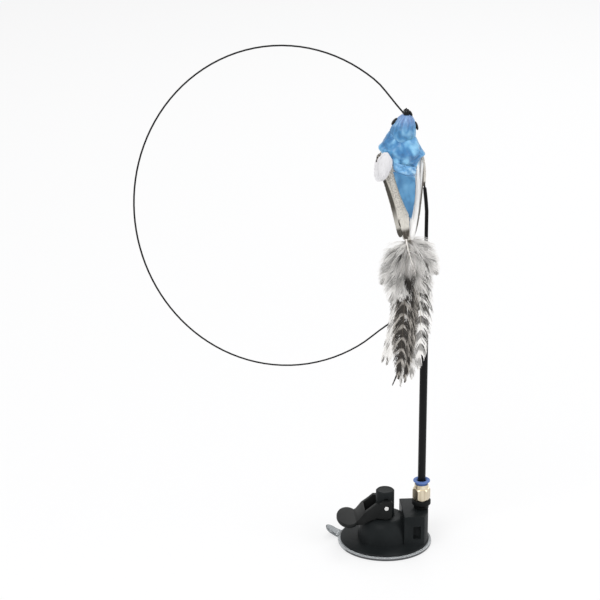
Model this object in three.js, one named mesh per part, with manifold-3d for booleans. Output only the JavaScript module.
// Suction cup feather toy: a lever-locked suction base carries a push-in tube fitting,
// a short tube and one springy wire loop, and a feather bird hangs from the wire's end.
// Millimetres, +Z up. The origin is on the surface that the cup grips, on the cup's axis.
// The lever's paddle lies to -X, the tube stands to +X, and the bird hangs to -Y.
import * as THREE from "three";
import { mergeVertices } from "three/addons/utils/BufferGeometryUtils.js";
import Module from "manifold-3d";

const wasm = await Module();
wasm.setup();

// Clearances and cuts
const clearance = 0.3;
const overrun = 3;

// Clear suction pad, drawn up in the middle by the locked lever
const padRadius = 36.1;
const padThickness = 2.4;
const padMiddleRadius = 12;
const padLift = 3;
const padEdge = 0.8;
const tabTurn = 160;
const tabReach = 10.6;
const tabWidth = 10;
const tabThickness = 1.5;
const tabRise = 3;

// Black cover: a skirt, a dome and a socket block, one moulding
const coverRadius = 34.2;
const skirtHeight = 0.9;
const skirtBevel = 0.5;
const skirtWall = 1.4;
const domeFootRadius = 20.8;
const domeFootHeight = 4.1;
const domeTopRadius = 12;
const domeTopHeight = 22.5;
const domeWall = 2.2;
const blockInnerX = 13.2;
const blockOuterRadius = 33.4;
const blockHalfWidth = 17.4;
const blockTop = 27.4;
const blockBevel = 0.6;
const blockSlotWidth = 5.7;
const blockSlotX = 23;
const blockSlotBottom = 8.6;
const blockSlotHeight = 10.6;
const blockSlotDepth = 4.4;

// Pull post, its foot on the pad, and the screw that joins them
const postRadius = 7.1;
const postAbovePin = 11.3;
const postBevel = 0.8;
const postRecessRadius = 6.2;
const postRecessDepth = 0.4;
const postNotchWidth = 3.2;
const postNotchHeight = 2.2;
const postNotchDepth = 1.2;
const postNotchAbovePin = 5.2;
const postTravel = 3;
const footRadius = 11;
const footThickness = 3;
const screwRadius = 1.3;
const screwHeadRadius = 3.2;
const screwHeadHeight = 1.4;
const screwReach = 10;

// Lock lever and its pin
const camRadius = 9.5;
const pinRadius = 1.7;
const pinStandOut = 0.3;
const leverOpenAngle = 95;
const armThickness = 3.4;
const armGap = 0.5;
const armTopHeight = 5.5;
const armBackX = 4.5;
const armRun = 23.3;
const armDrop = 13;
const paddleHalfWidth = 16.5;
const paddleHalfLength = 8.7;
const paddleThickness = 3;
const paddleEdge = 0.8;
const paddleX = 28.6;

// Socket adapter and push-in tube fitting
const standX = 28.1;
const bossRadius = 5.8;
const bossHeight = 2.2;
const flangeRadius = 7.3;
const flangeHeight = 4.7;
const flangeBevel = 1.2;
const shankRadius = 4.2;
const shankLength = 13;
const stubRadius = 4.2;
const stubLength = 6;
const hexAcrossFlats = 12;
const hexHeight = 9.4;
const hexBevel = 3;
const hexTurn = 30;
const neckRadius = 5.3;
const neckHeight = 3.2;
const fittingBoreRadius = 4.6;
const fittingBoreDepth = 8.6;
const tubeSeatDepth = 14.6;
const throughRadius = 2;
const sealHeight = 1.3;
const colletHeight = 3;
const colletSlotWidth = 0.8;
const colletSlots = 4;
const collarFlangeRadius = 6.5;
const collarFlangeHeight = 2.2;
const collarTaper = 1.4;
const collarDish = 0.8;
const collarTravel = 1;
const ringWall = 1;

// Tube, its end bush, and the sleeve round the wire's foot
const tubeRadius = 3;
const tubeWall = 0.75;
const tubeTop = 200;
const bushSpigotLength = 12;
const bushHeadHeight = 9;
const bushShoulder = 3;
const bushTipRadius = 2;
const sleeveRadius = 1.4;
const sleeveTipRadius = 1.3;
const sleeveFoot = 190;

// Wire: one loop, from the sleeve round to the bird's nose
const wireRadius = 0.65;
const wireSteps = 126;
const wireSides = 8;
const loopX = -76.7;
const loopZ = 272.5;
const loopHalfWidth = 109.9;
const loopHalfHeight = 124;
const loopTilt = 9.65;
const loopStart = 42;
const loopEnd = 300;
const loopStops = 24;

// The wire's rise out of the sleeve, its first stops inside the sleeve, and its return behind the bird
const sleevedStops = 5;
const riseFoot = 262;
const riseHeight = 98;
const returnFoot = 184.3;
const returnDrop = 9.16;
const returnBehind = 7.5;

// Crimp, link and eyelet that hang the bird
const crimpRadius = 1.3;
const crimpLength = 7;
const crimpSlope = 20;
const wireGripLength = 5;
const eyeRadius = 1.3;
const eyeWire = 0.4;
const linkRadius = 1.7;
const linkWire = 0.35;
const linkSlack = 0.1;
const eyeletRadius = 1.6;
const eyeletWire = 0.35;
const eyeletStemRadius = 0.45;
const eyeletStemLength = 6;
const hangX = 8.4;
const hangY = -27.5;
const hangZ = 352.7;

// Bird: head and body swell and taper along a gently leaning centre line
const birdY = -34;
const noseZ = 351.6;
const noseX = 7.6;
const headBottom = 330;
const headBottomX = 4.6;
const headHalfWidth = 10.6;
const headHalfDepth = 9;
const bodyBottom = 266.8;
const bodyBottomX = 9.4;
const bodyHalfWidth = 9.4;
const bodyHalfDepth = 8.4;
const birdSides = 20;
const beakRadius = 2.1;
const beakHeight = 5.6;
const beakLean = 0.5;
const beakY = -35.2;
const lowerBeakX = 9.6;
const lowerBeakWidth = 1.9;
const lowerBeakHeight = 5;
const lowerBeakThickness = 2.4;
const eyeDiscRadius = 3.1;
const eyeDiscHeight = 1.3;
const eyeReach = 7.4;
const leftEyeDrop = 5;
const rightEyeDrop = 8.2;

// Bird's cloth: a flared cape, a crumpled band below it and a pointed back flap
const capeTop = 338.6;
const capeHeight = 22;
const capeHalfWidth = 16;
const capeHalfDepth = 10.6;
const capeX = 4.7;
const bandTop = 318;
const bandHeight = 8.6;
const bandHalfWidth = 10.4;
const bandHalfDepth = 9.9;
const bandX = 5.2;
const clothSlant = 0.17;
const bandSlant = 0.3;
const clothWall = 1;
const flapLeftX = -2.4;
const flapRightX = 14.4;
const flapHeight = 31;
const flapTipX = 11.2;
const flapThickness = 0.8;

// Wings
const leftWingTopX = -8.6;
const leftWingTopZ = 322;
const leftWingTipX = 7.4;
const leftWingTipZ = 260.6;
const leftWingHalfWidth = 5.6;
const wingThickness = 1;
const leftWingY = -40.3;
const patchX = -9.8;
const patchZ = 315.8;
const patchHalfWidth = 6.8;
const patchHalfHeight = 10.2;
const patchHalfDepth = 1.6;
const rightWingTopX = 18.8;
const rightWingTopZ = 315;
const rightWingTipX = 13.6;
const rightWingTipZ = 259.6;
const rightWingHalfWidth = 6;
const rightWingTurn = 55;
const rightWingForward = 5.6;

// Tail: a thread binding, three fluffy plumes and five long barred feathers
const bindingRadius = 3.4;
const bindingHeight = 8;
const plumeGap = 0.4;
const plumeHalfDepth = 2.7;
const leftPlumeX = 0.6;
const leftPlumeHalfWidth = 10.6;
const leftPlumeHeight = 46;
const rightPlumeX = 21.8;
const rightPlumeHalfWidth = 12.4;
const rightPlumeHeight = 46;
const middlePlumeX = 10;
const middlePlumeHalfWidth = 5;
const middlePlumeTop = 256;
const middlePlumeHeight = 34;
const tailSpread = 17.4;
const tailLength = 117.2;
const featherHalfWidth = 12;
const featherThickness = 0.7;
const featherPitch = 1.05;
const quillHalfWidth = 0.6;

// Outlines as shares of the piece that each belongs to
const headShares = [
  [0, 0.97, 0],
  [0.23, 1, 0.05],
  [0.46, 0.86, 0.3],
  [0.71, 0.68, 0.65],
  [0.89, 0.5, 0.85],
  [0.97, 0.34, 0.95],
  [1, 0.2, 1],
];
const bodyShares = [
  [0, 0.2, 0],
  [0.03, 0.32, 0.02],
  [0.18, 0.46, 0.12],
  [0.36, 0.64, 0.34],
  [0.54, 0.8, 0.62],
  [0.72, 0.94, 0.85],
  [0.88, 1, 0.95],
  [1, 0.96, 1],
];
const capeShares = [
  [0, 0.68],
  [0.2, 0.8],
  [0.44, 1],
  [0.62, 0.87],
  [0.82, 0.74],
  [1, 0.64],
];
const bandShares = [
  [0, 0.9],
  [0.4, 1],
  [1, 0.98],
];
const plumeShares = [
  [0, 0.12],
  [0.06, 0.42],
  [0.25, 0.84],
  [0.5, 1],
  [0.75, 0.88],
  [0.93, 0.55],
  [1, 0.2],
];
const armShares = [
  [-0.322, -0.592],
  [-0.609, -0.815],
  [-0.837, -1],
  [-1, -1],
  [-1, -0.77],
  [-0.918, -0.669],
  [-0.742, -0.262],
  [-0.515, 0.038],
  [-0.36, 0.277],
  [-0.202, 0.262],
  [-0.09, 0.415],
];
const webShares = [
  [-0.79, -0.56],
  [-0.9, -0.88],
  [-1, -1],
  [-1, -0.77],
  [-0.918, -0.669],
  [-0.742, -0.262],
  [-0.69, -0.19],
];
const lowerBeakShares = [
  [0.2, 0],
  [1, 0],
  [1.1, 0.45],
  [0.25, 1],
  [0, 0.8],
];
const eyeSlopeShare = 0.6;
const headCoreShare = 0.8;
const flapRightBulgeShare = 0.35;
const flapLeftBulgeShare = 0.5;
const vaneFullShare = 0.8;
const vaneRoundShare = 0.6;

const beakShares = [
  [0, 1],
  [0.35, 0.86],
  [0.7, 0.5],
  [1, 0.08],
];

// The wire's rise as shares of the tube's X and of the rise's height
const riseShares = [
  [1, 0],
  [1, 0.061],
  [0.982, 0.128],
  [0.957, 0.194],
  [0.936, 0.249],
  [0.911, 0.318],
  [0.872, 0.403],
  [0.815, 0.495],
  [0.722, 0.592],
  [0.591, 0.694],
  [0.363, 0.827],
  [0.149, 0.904],
  [-0.11, 1],
];

// The wire's return as shares of the tube's X, and of the way forward and up to below the crimp
const returnShares = [
  [0.235, 0.04, 0],
  [0.541, 0.21, 0.055],
  [0.74, 0.46, 0.138],
  [0.776, 0.64, 0.233],
  [0.676, 0.67, 0.334],
  [0.52, 0.67, 0.442],
  [0.406, 0.67, 0.556],
  [0.349, 0.67, 0.689],
  [0.327, 0.67, 0.829],
  [0.327, 0.72, 0.93],
  [0.327, 1, 1],
];

// Long tail feathers, front to back: root and tip as shares of the tail's spread,
// length as a share of the tail's, and half width as a share of the widest feather's
const tailFeatherShares = [
  ["tail_feather_left", -0.023, -0.23, 0.97, 0.783],
  ["tail_feather_outer", -0.069, -1, 0.812, 0.45],
  ["tail_feather_middle", 0.023, 0.149, 0.986, 0.717],
  ["tail_feather_thin", -0.011, -0.425, 1, 0.158],
  ["tail_feather_right", 0.092, 0.747, 0.923, 1],
];

// Plan values that follow from the sizes above
const degree = Math.PI / 180;
const skirtBottom = padThickness + clearance;
const padMiddleTop = padLift + padThickness;
const padRingInner = domeFootRadius - domeWall;
const footBottom = padMiddleTop + clearance;
const postBottom = footBottom + footThickness + clearance;
const postHoleRadius = postRadius + clearance;
const pinHeight = domeTopHeight + clearance + camRadius;
const postTop = pinHeight + postAbovePin;
const armInnerY = postRadius + armGap;
const armOuterY = armInnerY + armThickness;
const bossBottom = blockTop + clearance;
const flangeTop = bossBottom + bossHeight + flangeHeight;
const hexBottom = flangeTop + clearance;
const hexTop = hexBottom + hexHeight;
const neckTop = hexTop + neckHeight;
const tubeSeat = neckTop - tubeSeatDepth;
const tubeBottom = tubeSeat + clearance;
const sealBottom = neckTop - fittingBoreDepth + clearance;
const colletBottom = sealBottom + sealHeight + clearance;
const collarSleeveBottom = colletBottom + colletHeight + clearance + collarTravel;
const collarFlangeBottom = neckTop + clearance + collarTravel;
const collarTop = collarFlangeBottom + collarFlangeHeight;
const ringInnerRadius = tubeRadius + clearance;
const ringOuterRadius = ringInnerRadius + ringWall;
const tubeBoreRadius = tubeRadius - tubeWall;
const sleeveBoreRadius = wireRadius + clearance;
const bodyTop = headBottom - clearance;
const plumeTop = bodyBottom - clearance - bindingHeight - clearance;
const featherBackY = birdY + featherPitch * ((tailFeatherShares.length - 1) / 2);

// Materials
function paint(color, roughness, metalness = 0) {
  return new THREE.MeshStandardMaterial({ color, roughness, metalness });
}
const blackPlastic = paint(0x2b2d2e, 0.5);
const clearRubber = paint(0xcfd3d6, 0.15);
const brightSteel = paint(0xd8d8d6, 0.25, 1);
const nickel = paint(0xc9bda0, 0.22, 1);
const blackRubber = paint(0x151515, 0.8);
const bluePlastic = paint(0x5f7fc4, 0.4);
const blackTube = paint(0x1c1c1d, 0.45);
const wireCoat = paint(0x18181a, 0.4);
const glossBlack = paint(0x0a0b0c, 0.12);
const blueCloth = paint(0x4f8fc6, 0.4);
const whiteFelt = paint(0xe8e8ea, 0.85);
const wingFeather = paint(0x9d978c, 0.75);
const greyPlume = paint(0xb8b5af, 0.9);
const barredFeather = paint(0x7a7268, 0.85);
const thread = paint(0xd9d6d0, 0.8);

// A closed mesh as a solid that can be cut and joined
function solid(geometry) {
  const bare = geometry.clone();
  bare.deleteAttribute("normal");
  bare.deleteAttribute("uv");
  const merged = mergeVertices(bare);
  const mesh = new wasm.Mesh({
    numProp: 3,
    vertProperties: new Float32Array(merged.attributes.position.array),
    triVerts: new Uint32Array(merged.index.array),
  });
  return new wasm.Manifold(mesh);
}

// A solid back as geometry
function geometryOf(body) {
  const mesh = body.getMesh();
  const geometry = new THREE.BufferGeometry();
  geometry.setAttribute("position", new THREE.BufferAttribute(mesh.vertProperties, mesh.numProp));
  geometry.setIndex(new THREE.BufferAttribute(mesh.triVerts, 1));
  return geometry;
}

const toy = new THREE.Group();

// Adds one named piece to the toy
function piece(name, shape, material) {
  const geometry = shape.isBufferGeometry ? shape : geometryOf(shape);
  const mesh = new THREE.Mesh(geometry.index ? geometry.toNonIndexed() : geometry, material);
  mesh.name = name;
  mesh.geometry.computeVertexNormals();
  toy.add(mesh);
}

// A body of revolution about Z: the profile's [radius, height] points run with the solid on their left
function turned(profile, sides = 48) {
  const points = profile.map(([radius, height]) => new THREE.Vector2(radius, height));
  return solid(new THREE.LatheGeometry(points, sides).rotateX(Math.PI / 2));
}

// A pipe along Z, with its bore
function pipe(outer, inner, bottom, top, sides = 32) {
  const section = [[inner, bottom], [outer, bottom], [outer, top], [inner, top], [inner, bottom]];
  return turned(section, sides);
}

// A round bar along Z
function bar(radius, bottom, top, sides = 32) {
  return turned([[0, bottom], [radius, bottom], [radius, top], [0, top]], sides);
}

// An upright box from its low to its high corner
function box([lowX, lowY, lowZ], [highX, highY, highZ]) {
  const shape = new THREE.BoxGeometry(highX - lowX, highY - lowY, highZ - lowZ);
  return solid(shape.translate((lowX + highX) / 2, (lowY + highY) / 2, (lowZ + highZ) / 2));
}

// An outline in X and Z, given as [x, z] points, made thick along Y about the middle Y
function slab(outline, thickness, middleY) {
  const shape = new THREE.Shape(outline.map(([x, z]) => new THREE.Vector2(x, z)));
  const geometry = new THREE.ExtrudeGeometry(shape, { depth: thickness, bevelEnabled: false });
  return solid(geometry.rotateX(Math.PI / 2).translate(0, middleY + thickness / 2, 0));
}

// A round bar between two points
function rod(from, to, radius, sides = 16) {
  const axis = new THREE.Vector3().subVectors(to, from);
  const geometry = new THREE.CylinderGeometry(radius, radius, axis.length(), sides);
  const up = new THREE.Vector3(0, 1, 0);
  geometry.applyQuaternion(new THREE.Quaternion().setFromUnitVectors(up, axis.clone().normalize()));
  const middle = new THREE.Vector3().addVectors(from, to).multiplyScalar(1 / 2);
  return solid(geometry.translate(middle.x, middle.y, middle.z));
}

// A wire ring about a centre: its axis is Y, or X when turned
function wireRing(radius, wire, centre, aboutX) {
  const geometry = new THREE.TorusGeometry(radius, wire, 8, 24);
  if (aboutX) geometry.rotateY(Math.PI / 2);
  if (!aboutX) geometry.rotateX(Math.PI / 2);
  return solid(geometry.translate(centre.x, centre.y, centre.z));
}

// A form that swells and tapers along Z: each ring is { x, y, z, halfWidth, halfDepth }, low to high,
// and slant lowers each ring towards +X
function swollen(rings, sides, slant = 0) {
  const positions = [];
  const indices = [];
  for (const ring of rings) {
    for (let side = 0; side < sides; side += 1) {
      const angle = (2 * Math.PI * side) / sides;
      const across = ring.halfWidth * Math.cos(angle);
      positions.push(ring.x + across, ring.y + ring.halfDepth * Math.sin(angle), ring.z - slant * across);
    }
  }
  for (let level = 0; level < rings.length - 1; level += 1) {
    for (let side = 0; side < sides; side += 1) {
      const low = level * sides + side;
      const next = level * sides + ((side + 1) % sides);
      indices.push(low, next, next + sides, low, next + sides, low + sides);
    }
  }
  for (const [level, turn] of [[0, 1], [rings.length - 1, -1]]) {
    const ring = rings[level];
    const middle = positions.length / 3;
    positions.push(ring.x, ring.y, ring.z);
    for (let side = 0; side < sides; side += 1) {
      const here = level * sides + side;
      const next = level * sides + ((side + 1) % sides);
      if (turn > 0) indices.push(middle, next, here);
      if (turn < 0) indices.push(middle, here, next);
    }
  }
  const geometry = new THREE.BufferGeometry();
  geometry.setAttribute("position", new THREE.Float32BufferAttribute(positions, 3));
  geometry.setIndex(indices);
  return solid(geometry);
}

// Rings of a form from its shares of height, girth and lean, grown by a margin all round
function ringsOf(shares, form, margin = 0) {
  return shares.map(([height, girth, lean = 0]) => ({
    x: form.bottomX + lean * (form.topX - form.bottomX),
    y: form.y,
    z: form.bottom + height * (form.top - form.bottom),
    halfWidth: girth * form.halfWidth + margin,
    halfDepth: girth * form.halfDepth + margin,
  }));
}

// A feather's flat blade from its root to its tip, with a narrow quill and a rounded vane
function blade(root, tip, halfWidth, thickness, quill = quillHalfWidth) {
  const steps = 11;
  const run = [tip.x - root.x, tip.z - root.z];
  const length = Math.hypot(...run);
  const across = [-run[1] / length, run[0] / length];
  const edge = (share, side) => {
    const vane = halfWidth * Math.sin(Math.PI * share ** vaneFullShare) ** vaneRoundShare;
    const reach = side * Math.max(vane, quill * (1 - share ** 4));
    return [root.x + share * run[0] + reach * across[0], root.z + share * run[1] + reach * across[1]];
  };
  const outline = [];
  for (let step = 0; step <= steps; step += 1) outline.push(edge(step / steps, 1));
  for (let step = steps - 1; step >= 0; step -= 1) outline.push(edge(step / steps, -1));
  return slab(outline, thickness, root.y);
}

// Suction pad with its pull tab
function makePad() {
  const disc = turned([
    [0, padLift],
    [padMiddleRadius, padLift],
    [padRingInner, 0],
    [padRadius - padEdge, 0],
    [padRadius, padEdge],
    [padRadius, padThickness - padEdge],
    [padRadius - padEdge, padThickness],
    [padRingInner, padThickness],
    [padMiddleRadius, padMiddleTop],
    [0, padMiddleTop],
  ], 60);
  const start = padRadius - 2 * padEdge;
  const end = padRadius + tabReach - tabWidth / 2;
  const outline = new THREE.Shape();
  outline.moveTo(start, -tabWidth / 2);
  outline.lineTo(end, -tabWidth / 2);
  outline.absarc(end, 0, tabWidth / 2, -Math.PI / 2, Math.PI / 2, false);
  outline.lineTo(start, tabWidth / 2);
  const settings = { depth: tabThickness, bevelEnabled: false, curveSegments: 8 };
  const slope = Math.atan2(tabRise, tabReach);
  const tab = new THREE.ExtrudeGeometry(outline, settings)
    .translate(-start, 0, 0)
    .rotateY(-slope)
    .translate(start, 0, (padThickness - tabThickness) / 2)
    .rotateZ(tabTurn * degree);
  piece("suction_pad", disc.add(solid(tab)), clearRubber);
}

// Dome arc from its foot to its shoulder, drawn in by a wall
function domeArc(wall) {
  const stops = 6;
  const points = [];
  for (let stop = 0; stop <= stops; stop += 1) {
    const angle = (stop / stops) * (Math.PI / 2);
    points.push([
      domeTopRadius - wall / 2 + (domeFootRadius - domeTopRadius - wall / 2) * Math.cos(angle),
      domeFootHeight + (domeTopHeight - wall - domeFootHeight) * Math.sin(angle),
    ]);
  }
  return points;
}

// Cover with its skirt, dome and socket block
function makeCover() {
  const skirtTop = skirtBottom + skirtHeight;
  const profile = [
    [coverRadius - skirtWall, skirtBottom],
    [coverRadius, skirtBottom],
    [coverRadius, skirtTop],
    [coverRadius - skirtBevel, skirtTop + skirtBevel],
    ...domeArc(0),
    [postHoleRadius, domeTopHeight],
    [postHoleRadius, domeTopHeight - domeWall],
    ...domeArc(domeWall).reverse(),
    [domeFootRadius - domeWall, domeFootHeight - skirtWall],
    [coverRadius - skirtWall, skirtBottom],
  ];
  const shell = turned(profile, 60);
  const cornerAngle = Math.asin(blockHalfWidth / blockOuterRadius);
  const plan = new THREE.Shape();
  plan.moveTo(blockInnerX, blockHalfWidth);
  plan.lineTo(blockInnerX, -blockHalfWidth);
  plan.absarc(0, 0, blockOuterRadius, -cornerAngle, cornerAngle, false);
  const blockBottom = domeFootHeight - skirtWall / 2;
  const block = new THREE.ExtrudeGeometry(plan, {
    depth: blockTop - blockBottom - 2 * blockBevel,
    bevelThickness: blockBevel,
    bevelSize: blockBevel,
    bevelOffset: -blockBevel,
    bevelSegments: 2,
    curveSegments: 12,
  }).translate(0, 0, blockBottom + blockBevel);
  const slotFront = -blockHalfWidth - overrun;
  const slot = box(
    [blockSlotX - blockSlotWidth / 2, slotFront, blockSlotBottom],
    [blockSlotX + blockSlotWidth / 2, blockSlotDepth - blockHalfWidth, blockSlotBottom + blockSlotHeight],
  );
  const shankFoot = bossBottom - shankLength - 2 * clearance;
  const shankHole = bar(shankRadius + clearance, shankFoot, blockTop + overrun);
  const postHole = bar(postHoleRadius, skirtBottom, blockTop + overrun, 48);
  const hollow = turned([
    [0, skirtBottom - overrun],
    [domeFootRadius - domeWall, skirtBottom - overrun],
    ...domeArc(domeWall),
    [0, domeTopHeight - domeWall],
  ], 60);
  const whole = shell
    .add(solid(block))
    .subtract(hollow)
    .subtract(slot)
    .subtract(shankHole.translate([standX, 0, 0]))
    .subtract(postHole);
  piece("base_cover", whole, blackPlastic);
}

// Pull post with its pin hole, notches and screw hole
function makePost() {
  const body = turned([
    [0, postBottom],
    [postRadius, postBottom],
    [postRadius, postTop - postBevel],
    [postRadius - postBevel, postTop],
    [postRecessRadius, postTop],
    [postRecessRadius - postBevel / 2, postTop - postRecessDepth],
    [0, postTop - postRecessDepth],
  ]);
  const pinHole = rod(
    new THREE.Vector3(0, -postRadius - overrun, pinHeight),
    new THREE.Vector3(0, postRadius + overrun, pinHeight),
    pinRadius + clearance,
  );
  const notchBottom = pinHeight + postNotchAbovePin - postNotchHeight / 2;
  const notches = [-1, 1].map((side) => {
    const inner = side * (postRadius - postNotchDepth);
    const outer = side * (postRadius + overrun);
    return box(
      [-postNotchWidth / 2, Math.min(inner, outer), notchBottom],
      [postNotchWidth / 2, Math.max(inner, outer), notchBottom + postNotchHeight],
    );
  });
  const screwHole = bar(screwRadius + clearance, postBottom - overrun, postBottom + screwReach);
  const whole = body.subtract(pinHole).subtract(notches[0]).subtract(notches[1]).subtract(screwHole);
  piece("pull_post", whole, blackPlastic);
  const headSeat = footBottom + screwHeadHeight + 2 * clearance;
  const foot = bar(footRadius, footBottom, footBottom + footThickness, 40)
    .subtract(bar(screwHeadRadius + clearance, footBottom - overrun, headSeat))
    .subtract(bar(screwRadius + clearance, footBottom, postBottom + overrun));
  piece("post_foot", foot, blackPlastic);
  const headBottomZ = headSeat - clearance - screwHeadHeight;
  const screw = bar(screwHeadRadius, headBottomZ, headBottomZ + screwHeadHeight, 24)
    .add(bar(screwRadius, headBottomZ, postBottom + screwReach - clearance, 16));
  piece("post_screw", screw, brightSteel);
}

// Lock lever: two arms with cam heels, a web and a round paddle
function makeLever() {
  const camStops = 6;
  const camSweep = Math.asin(armBackX / camRadius);
  const outline = [[armBackX, armTopHeight - postBevel], [armBackX - postBevel, armTopHeight]];
  const heel = [];
  for (let stop = 0; stop <= camStops; stop += 1) {
    const angle = camSweep * (1 - stop / camStops);
    const radius = camRadius - (postTravel * angle) / (leverOpenAngle * degree);
    heel.push([Math.min(armBackX, radius * Math.sin(angle)), -radius * Math.cos(angle)]);
  }
  const placed = ([alongShare, upShare]) => [alongShare * armRun, pinHeight + upShare * armDrop];
  const lifted = [...heel, ...outline].map(([x, z]) => [x, z + pinHeight]);
  const back = lifted.splice(heel.length);
  const points = [...lifted, ...armShares.map(placed), ...back.reverse()];
  const middleY = (armInnerY + armOuterY) / 2;
  const arms = slab(points, armThickness, middleY).add(slab(points, armThickness, -middleY));
  const web = slab(webShares.map(placed), 2 * middleY, 0);
  const paddleBottom = pinHeight - armDrop;
  const paddleTop = paddleBottom + paddleThickness;
  const paddle = turned([
    [0, paddleBottom],
    [paddleHalfWidth - paddleEdge, paddleBottom],
    [paddleHalfWidth, paddleBottom + paddleEdge],
    [paddleHalfWidth, paddleTop - paddleEdge],
    [paddleHalfWidth - paddleEdge, paddleTop],
    [0, paddleTop],
  ]).scale([paddleHalfLength / paddleHalfWidth, 1, 1]).translate([-paddleX, 0, 0]);
  const pinHole = rod(
    new THREE.Vector3(0, -armOuterY - overrun, pinHeight),
    new THREE.Vector3(0, armOuterY + overrun, pinHeight),
    pinRadius + clearance,
  );
  const whole = arms.add(paddle).add(web).subtract(pinHole);
  piece("lock_lever", whole, blackPlastic);
  const pin = rod(
    new THREE.Vector3(0, -armOuterY - pinStandOut, pinHeight),
    new THREE.Vector3(0, armOuterY + pinStandOut, pinHeight),
    pinRadius,
  );
  piece("lever_pin", pin, brightSteel);
}

// Socket adapter that takes the fitting's thread
function makeAdapter() {
  const flangeBottom = bossBottom + bossHeight;
  const body = turned([
    [0, bossBottom - shankLength],
    [shankRadius, bossBottom - shankLength],
    [shankRadius, bossBottom],
    [bossRadius, bossBottom],
    [bossRadius, flangeBottom],
    [flangeRadius, flangeBottom + flangeBevel],
    [flangeRadius, flangeTop - flangeBevel / 2],
    [flangeRadius - flangeBevel / 2, flangeTop],
    [stubRadius + clearance, flangeTop],
    [stubRadius + clearance, hexBottom - stubLength - clearance],
    [0, hexBottom - stubLength - clearance],
  ], 40).translate([standX, 0, 0]);
  piece("socket_adapter", body, blackPlastic);
}

// Push-in fitting: hexagon body, seal, gripper collet and release collar
function makeFitting() {
  const cornerRadius = hexAcrossFlats / Math.sqrt(3);
  const flats = new THREE.CylinderGeometry(cornerRadius, cornerRadius, hexHeight, 6)
    .rotateX(Math.PI / 2)
    .rotateZ(hexTurn * degree)
    .translate(0, 0, (hexBottom + hexTop) / 2);
  const barrel = turned([
    [0, hexBottom],
    [hexAcrossFlats / 2, hexBottom],
    [cornerRadius, hexBottom + hexBevel / 2],
    [cornerRadius, hexTop - hexBevel / 2],
    [hexAcrossFlats / 2, hexTop],
    [0, hexTop],
  ]);
  const neck = bar(neckRadius, hexTop - clearance, neckTop, 40);
  const stub = bar(stubRadius, hexBottom - stubLength, hexBottom + clearance, 40);
  const body = solid(flats)
    .intersect(barrel)
    .add(neck)
    .add(stub)
    .subtract(bar(fittingBoreRadius, neckTop - fittingBoreDepth, neckTop + overrun))
    .subtract(bar(ringInnerRadius, tubeSeat, neckTop))
    .subtract(bar(throughRadius, hexBottom - stubLength - overrun, neckTop))
    .translate([standX, 0, 0]);
  piece("fitting_body", body, nickel);
  const seal = pipe(ringOuterRadius, ringInnerRadius, sealBottom, sealBottom + sealHeight);
  piece("fitting_seal", seal.translate([standX, 0, 0]), blackRubber);
  const colletTop = colletBottom + colletHeight;
  let collet = pipe(ringOuterRadius, ringInnerRadius, colletBottom, colletTop);
  for (let slot = 0; slot < colletSlots; slot += 1) {
    const cut = box(
      [0, -colletSlotWidth / 2, colletBottom + colletHeight / 3],
      [ringOuterRadius + overrun, colletSlotWidth / 2, colletTop + overrun],
    );
    collet = collet.subtract(cut.rotate([0, 0, (360 * slot) / colletSlots]));
  }
  piece("gripper_collet", collet.translate([standX, 0, 0]), brightSteel);
  const collar = turned([
    [ringInnerRadius, collarSleeveBottom],
    [ringOuterRadius, collarSleeveBottom],
    [ringOuterRadius, collarFlangeBottom],
    [collarFlangeRadius - collarTaper, collarFlangeBottom],
    [collarFlangeRadius, collarFlangeBottom + collarFlangeHeight / 2],
    [collarFlangeRadius, collarTop - collarDish / 2],
    [collarFlangeRadius - collarDish / 2, collarTop],
    [ringOuterRadius, collarTop],
    [ringInnerRadius, collarTop - collarDish],
    [ringInnerRadius, collarSleeveBottom],
  ], 40);
  piece("release_collar", collar.translate([standX, 0, 0]), bluePlastic);
}

// Tube, its end bush and the wire's sleeve
function makeStand() {
  const tube = pipe(tubeRadius, tubeBoreRadius, tubeBottom, tubeTop, 28);
  piece("wand_tube", tube.translate([standX, 0, 0]), blackTube);
  const headBottomZ = tubeTop + clearance;
  const bushTop = headBottomZ + bushHeadHeight;
  const spigotRadius = tubeBoreRadius - clearance;
  const boreRadius = sleeveRadius + clearance / 2;
  const bush = turned([
    [0, tubeTop - bushSpigotLength],
    [spigotRadius, tubeTop - bushSpigotLength],
    [spigotRadius, headBottomZ],
    [tubeRadius, headBottomZ],
    [tubeRadius, headBottomZ + bushShoulder],
    [bushTipRadius, bushTop],
    [boreRadius, bushTop],
    [boreRadius, sleeveFoot],
    [0, sleeveFoot],
  ], 28);
  piece("tube_end_bush", bush.translate([standX, 0, 0]), blackRubber);
  const stops = risePoints().slice(0, sleevedStops);
  const tip = stops.at(-1);
  const between = stops.slice(1, -1);
  const ring = ([x, z], radius) => ({ x, y: 0, z, halfWidth: radius, halfDepth: radius });
  const skin = swollen([
    ring([standX, sleeveFoot + clearance], sleeveRadius),
    ring(stops[0], sleeveRadius),
    ...between.map((stop) => ring(stop, sleeveRadius)),
    ring(tip, sleeveTipRadius),
  ], 16);
  const bore = swollen([
    ring([standX, riseFoot - clearance], sleeveBoreRadius),
    ...between.map((stop) => ring(stop, sleeveBoreRadius)),
    ring([tip[0], tip[1] + clearance], sleeveBoreRadius),
  ], 16);
  const sleeve = skin.subtract(bore);
  piece("wire_sleeve", sleeve, blackTube);
}

// The wire's rise as [x, z] points
function risePoints() {
  return riseShares.map(([acrossShare, upShare]) => [standX * acrossShare, riseFoot + riseHeight * upShare]);
}

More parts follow.
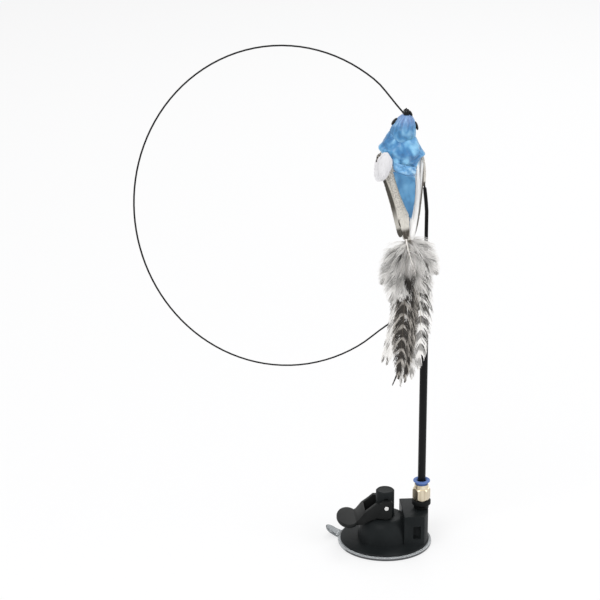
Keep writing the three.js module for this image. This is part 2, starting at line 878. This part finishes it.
// A point of the loop at an angle round its tilted ellipse
function loopPoint(angle) {
  const across = loopHalfWidth * Math.cos(angle);
  const along = loopHalfHeight * Math.sin(angle);
  const tilt = loopTilt * degree;
  return new THREE.Vector3(
    loopX + across * Math.cos(tilt) - along * Math.sin(tilt),
    0,
    loopZ + across * Math.sin(tilt) + along * Math.cos(tilt),
  );
}

// Where the crimp's wire end and back end lie, behind and below its eye
function crimpPoint(reach) {
  const slope = crimpSlope * degree;
  const eyeZ = hangZ + eyeRadius;
  return new THREE.Vector3(hangX, hangY + reach * Math.cos(slope), eyeZ - reach * Math.sin(slope));
}

// The wire's route: up out of the sleeve, round the loop, and up behind the bird to the crimp
function wireRoute() {
  const crimpBack = crimpPoint(eyeRadius + crimpLength);
  const returnHeight = crimpBack.z - returnDrop - returnFoot;
  const points = risePoints().map(([x, z]) => new THREE.Vector3(x, 0, z));
  for (let stop = 0; stop <= loopStops; stop += 1) {
    points.push(loopPoint((loopStart + ((loopEnd - loopStart) * stop) / loopStops) * degree));
  }
  points.push(
    ...returnShares.map(([acrossShare, forwardShare, upShare]) => new THREE.Vector3(
      standX * acrossShare,
      (crimpBack.y + returnBehind) * forwardShare,
      returnFoot + returnHeight * upShare,
    )),
    crimpBack,
    crimpPoint(eyeRadius + crimpLength - wireGripLength),
  );
  return new THREE.CatmullRomCurve3(points, false, "centripetal");
}

// Least gap of the wire to itself, between points more than a turn's sixteenth apart along it
function leastWireGap(route) {
  const samples = route.getSpacedPoints(400);
  const apart = samples.length / 16;
  let least = Infinity;
  for (let first = 0; first < samples.length; first += 1) {
    for (let second = first + Math.ceil(apart); second < samples.length; second += 1) {
      least = Math.min(least, samples[first].distanceTo(samples[second]));
    }
  }
  return least - 2 * wireRadius;
}

// Wire with the crimp and its eye, and the link below it
function makeWire() {
  const route = wireRoute();
  const section = new THREE.Shape();
  for (let side = 0; side < wireSides; side += 1) {
    const angle = (2 * Math.PI * side) / wireSides;
    const corner = [wireRadius * Math.cos(angle), wireRadius * Math.sin(angle)];
    if (side === 0) section.moveTo(...corner);
    if (side > 0) section.lineTo(...corner);
  }
  const settings = { steps: wireSteps, extrudePath: route, bevelEnabled: false };
  piece("wand_wire", solid(new THREE.ExtrudeGeometry(section, settings)), wireCoat);
  console.log("wire length " + route.getLength().toFixed(1) + " mm, least gap to itself "
    + leastWireGap(route).toFixed(2) + " mm");
  const eyeCentre = crimpPoint(0);
  const barrel = rod(crimpPoint(eyeRadius), crimpPoint(eyeRadius + crimpLength), crimpRadius);
  const grip = rod(
    crimpPoint(eyeRadius + crimpLength - wireGripLength - clearance),
    crimpPoint(eyeRadius + crimpLength + overrun),
    wireRadius + clearance,
  );
  const crimp = barrel.add(wireRing(eyeRadius, eyeWire, eyeCentre, true)).subtract(grip);
  piece("wire_crimp", crimp, blackTube);
  const linkCentre = new THREE.Vector3(hangX, hangY, linkTopZ() - linkRadius);
  piece("hanging_link", wireRing(linkRadius, linkWire, linkCentre, false), wireCoat);
}

// The link's top wire rests over the eye's low wire, and the eyelet's top wire over the link's
function linkTopZ() {
  return hangZ + eyeWire + linkWire + linkSlack;
}
function eyeletTopZ() {
  return linkTopZ() - 2 * linkRadius + linkWire + eyeletWire + linkSlack;
}

const headForm = {
  bottom: headBottom,
  top: noseZ,
  bottomX: headBottomX,
  topX: noseX,
  y: birdY,
  halfWidth: headHalfWidth,
  halfDepth: headHalfDepth,
};
const bodyForm = {
  bottom: bodyBottom,
  top: bodyTop,
  bottomX: bodyBottomX,
  topX: headBottomX,
  y: birdY,
  halfWidth: bodyHalfWidth,
  halfDepth: bodyHalfDepth,
};
const capeForm = {
  bottom: capeTop - capeHeight,
  top: capeTop,
  bottomX: capeX,
  topX: capeX,
  y: birdY,
  halfWidth: capeHalfWidth,
  halfDepth: capeHalfDepth,
};
const bandForm = {
  bottom: bandTop - bandHeight,
  top: bandTop,
  bottomX: bandX,
  topX: bandX,
  y: birdY,
  halfWidth: bandHalfWidth,
  halfDepth: bandHalfDepth,
};

// Head, beak, eyes and the nose eyelet
function makeHead() {
  const head = swollen(ringsOf(headShares, headForm), birdSides);
  const grown = swollen(ringsOf(headShares, headForm, clearance), birdSides);
  piece("bird_head", head, blueCloth);
  const beakBottom = noseZ + clearance;
  const beakRings = beakShares.map(([heightShare, girthShare]) => ({
    x: noseX + beakLean * heightShare,
    y: beakY,
    z: beakBottom + heightShare * beakHeight,
    halfWidth: girthShare * beakRadius,
    halfDepth: girthShare * beakRadius,
  }));
  piece("beak_upper", swollen(beakRings, 10), glossBlack);
  const lowerOutline = lowerBeakShares.map(([acrossShare, upShare]) => [
    lowerBeakX + acrossShare * lowerBeakWidth,
    noseZ + upShare * lowerBeakHeight,
  ]);
  const lowerBeak = slab(lowerOutline, lowerBeakThickness, birdY).subtract(grown);
  piece("beak_lower", lowerBeak, glossBlack);
  const slope = Math.atan2(headHalfWidth, noseZ - headBottom);
  const eyes = [["left_eye", -1, leftEyeDrop], ["right_eye", 1, rightEyeDrop]];
  for (const [name, side, drop] of eyes) {
    const share = 1 - drop / (noseZ - headBottom);
    const middleX = headBottomX + (noseX - headBottomX) * share;
    const reach = side * (eyeReach + (drop - leftEyeDrop) * Math.tan(slope) * eyeSlopeShare);
    const eye = new THREE.SphereGeometry(1, 14, 8)
      .scale(eyeDiscHeight, eyeDiscRadius, eyeDiscRadius)
      .rotateY(-side * slope)
      .translate(middleX + reach, birdY, noseZ - drop);
    piece(name, solid(eye).subtract(grown), glossBlack);
  }
  const ringCentre = new THREE.Vector3(hangX, hangY, eyeletTopZ() - eyeletRadius);
  const stemTop = new THREE.Vector3(hangX, hangY, ringCentre.z - eyeletRadius);
  const stemFoot = new THREE.Vector3(hangX, hangY - eyeletStemLength / 2, stemTop.z - eyeletStemLength);
  const eyelet = wireRing(eyeletRadius, eyeletWire, ringCentre, true)
    .add(rod(stemTop, stemFoot, eyeletStemRadius, 10))
    .subtract(grown);
  piece("nose_eyelet", eyelet, brightSteel);
}

// Body with the cape and band wrapped round it, and the back flap
function makeBody() {
  piece("bird_body", swollen(ringsOf(bodyShares, bodyForm), birdSides), blueCloth);
  const inside = swollen(ringsOf(bodyShares, bodyForm, clearance), birdSides)
    .add(swollen(ringsOf(headShares, headForm, clearance), birdSides))
    .add(bar(bodyHalfWidth * headCoreShare, headBottom - overrun, headBottom + overrun)
      .translate([headBottomX, birdY, 0]));
  const cape = swollen(ringsOf(capeShares, capeForm), birdSides, clothSlant);
  piece("cape", cape.subtract(inside), blueCloth);
  const capeGrown = swollen(ringsOf(capeShares, capeForm, clearance), birdSides, clothSlant);
  const band = swollen(ringsOf(bandShares, bandForm), birdSides, bandSlant);
  piece("chest_band", band.subtract(inside).subtract(capeGrown), blueCloth);
  const hem = (x) => bandTop - bandHeight - bandSlant * (x - bandX) - 2 * clearance;
  const tip = [flapTipX, hem(flapTipX) - flapHeight];
  const bulge = (x, share, out) => [
    x + (flapTipX - x) * share + out,
    hem(x) + (tip[1] - hem(x)) * share,
  ];
  const outline = [
    [flapLeftX, hem(flapLeftX)],
    bulge(flapLeftX, flapLeftBulgeShare, -clothWall),
    tip,
    bulge(flapRightX, flapRightBulgeShare, clothWall),
    [flapRightX, hem(flapRightX)],
  ];
  const flapY = birdY - bodyHalfDepth - clearance - flapThickness / 2;
  piece("back_flap", slab(outline, flapThickness, flapY), blueCloth);
  return capeGrown.add(swollen(ringsOf(bandShares, bandForm, clearance), birdSides, bandSlant));
}

// Wings and the white patch over the left wing's root
function makeWings(clothGrown) {
  const leftRoot = new THREE.Vector3(leftWingTopX, leftWingY, leftWingTopZ);
  const leftTip = new THREE.Vector3(leftWingTipX, leftWingY, leftWingTipZ);
  const left = blade(leftRoot, leftTip, leftWingHalfWidth, wingThickness, leftWingHalfWidth / 2);
  piece("left_wing", left.subtract(clothGrown), wingFeather);
  const patch = new THREE.SphereGeometry(1, 20, 12)
    .scale(patchHalfWidth, patchHalfDepth, patchHalfHeight)
    .translate(patchX, leftWingY - wingThickness / 2 - clearance - patchHalfDepth, patchZ);
  piece("left_wing_patch", solid(patch).subtract(clothGrown), whiteFelt);
  const drop = rightWingTopZ - rightWingTipZ;
  const root = new THREE.Vector3(0, 0, 0);
  const tip = new THREE.Vector3(0, 0, -drop);
  const lean = (rightWingTipX - rightWingTopX) / drop;
  const right = blade(root, tip, rightWingHalfWidth, wingThickness, rightWingHalfWidth / 2)
    .rotate([0, 0, rightWingTurn])
    .rotate([Math.atan(rightWingForward / drop) / -degree, 0, 0])
    .rotate([0, Math.atan(lean) / -degree, 0])
    .translate([rightWingTopX, birdY + wingThickness, rightWingTopZ]);
  const bindingGrown = bar(bindingRadius + clearance, bodyBottom - 2 * bindingHeight, bodyBottom, 20)
    .translate([bodyBottomX, birdY, 0]);
  piece("right_wing", right.subtract(clothGrown).subtract(bindingGrown), wingFeather);
}

// Tail binding, plumes and long feathers
function makeTail() {
  const bindingTop = bodyBottom - clearance;
  const binding = bar(bindingRadius, bindingTop - bindingHeight, bindingTop, 20);
  piece("tail_binding", binding.translate([bodyBottomX, birdY, 0]), thread);
  const frontFeatherY = featherBackY - featherPitch * (tailFeatherShares.length - 1) - featherThickness / 2;
  const backFeatherY = featherBackY + featherThickness / 2;
  const plume = (name, middleX, y, halfWidth, height, top) => {
    const rings = plumeShares.map(([heightShare, girthShare]) => ({
      x: middleX + (bodyBottomX - middleX) * heightShare ** 3,
      y,
      z: top - height + heightShare * height,
      halfWidth: girthShare * halfWidth,
      halfDepth: girthShare * plumeHalfDepth,
    }));
    piece(name, swollen(rings, 16), greyPlume);
  };
  const leftY = frontFeatherY - plumeGap - plumeHalfDepth;
  plume("plume_left", leftPlumeX, leftY, leftPlumeHalfWidth, leftPlumeHeight, plumeTop);
  const rightY = backFeatherY + plumeGap + plumeHalfDepth;
  plume("plume_right", rightPlumeX, rightY, rightPlumeHalfWidth, rightPlumeHeight, plumeTop);
  const middleY = leftY - plumeHalfDepth - plumeGap - featherThickness / 2;
  const middleRoot = new THREE.Vector3(middlePlumeX, middleY, middlePlumeTop);
  const middleTip = new THREE.Vector3(middlePlumeX, middleY, middlePlumeTop - middlePlumeHeight);
  piece("plume_middle", blade(middleRoot, middleTip, middlePlumeHalfWidth, featherThickness), greyPlume);
  tailFeatherShares.forEach(([name, rootShare, tipShare, lengthShare, widthShare], order) => {
    const y = featherBackY - featherPitch * (tailFeatherShares.length - 1 - order);
    const root = new THREE.Vector3(bodyBottomX + tailSpread * rootShare, y, plumeTop);
    const tipZ = plumeTop - tailLength * lengthShare;
    const tip = new THREE.Vector3(bodyBottomX + tailSpread * tipShare, y, tipZ);
    piece(name, blade(root, tip, featherHalfWidth * widthShare, featherThickness), barredFeather);
  });
}

makePad();
makeCover();
makePost();
makeLever();
makeAdapter();
makeFitting();
makeStand();
makeWire();
makeHead();
makeWings(makeBody());
makeTail();

export default toy;
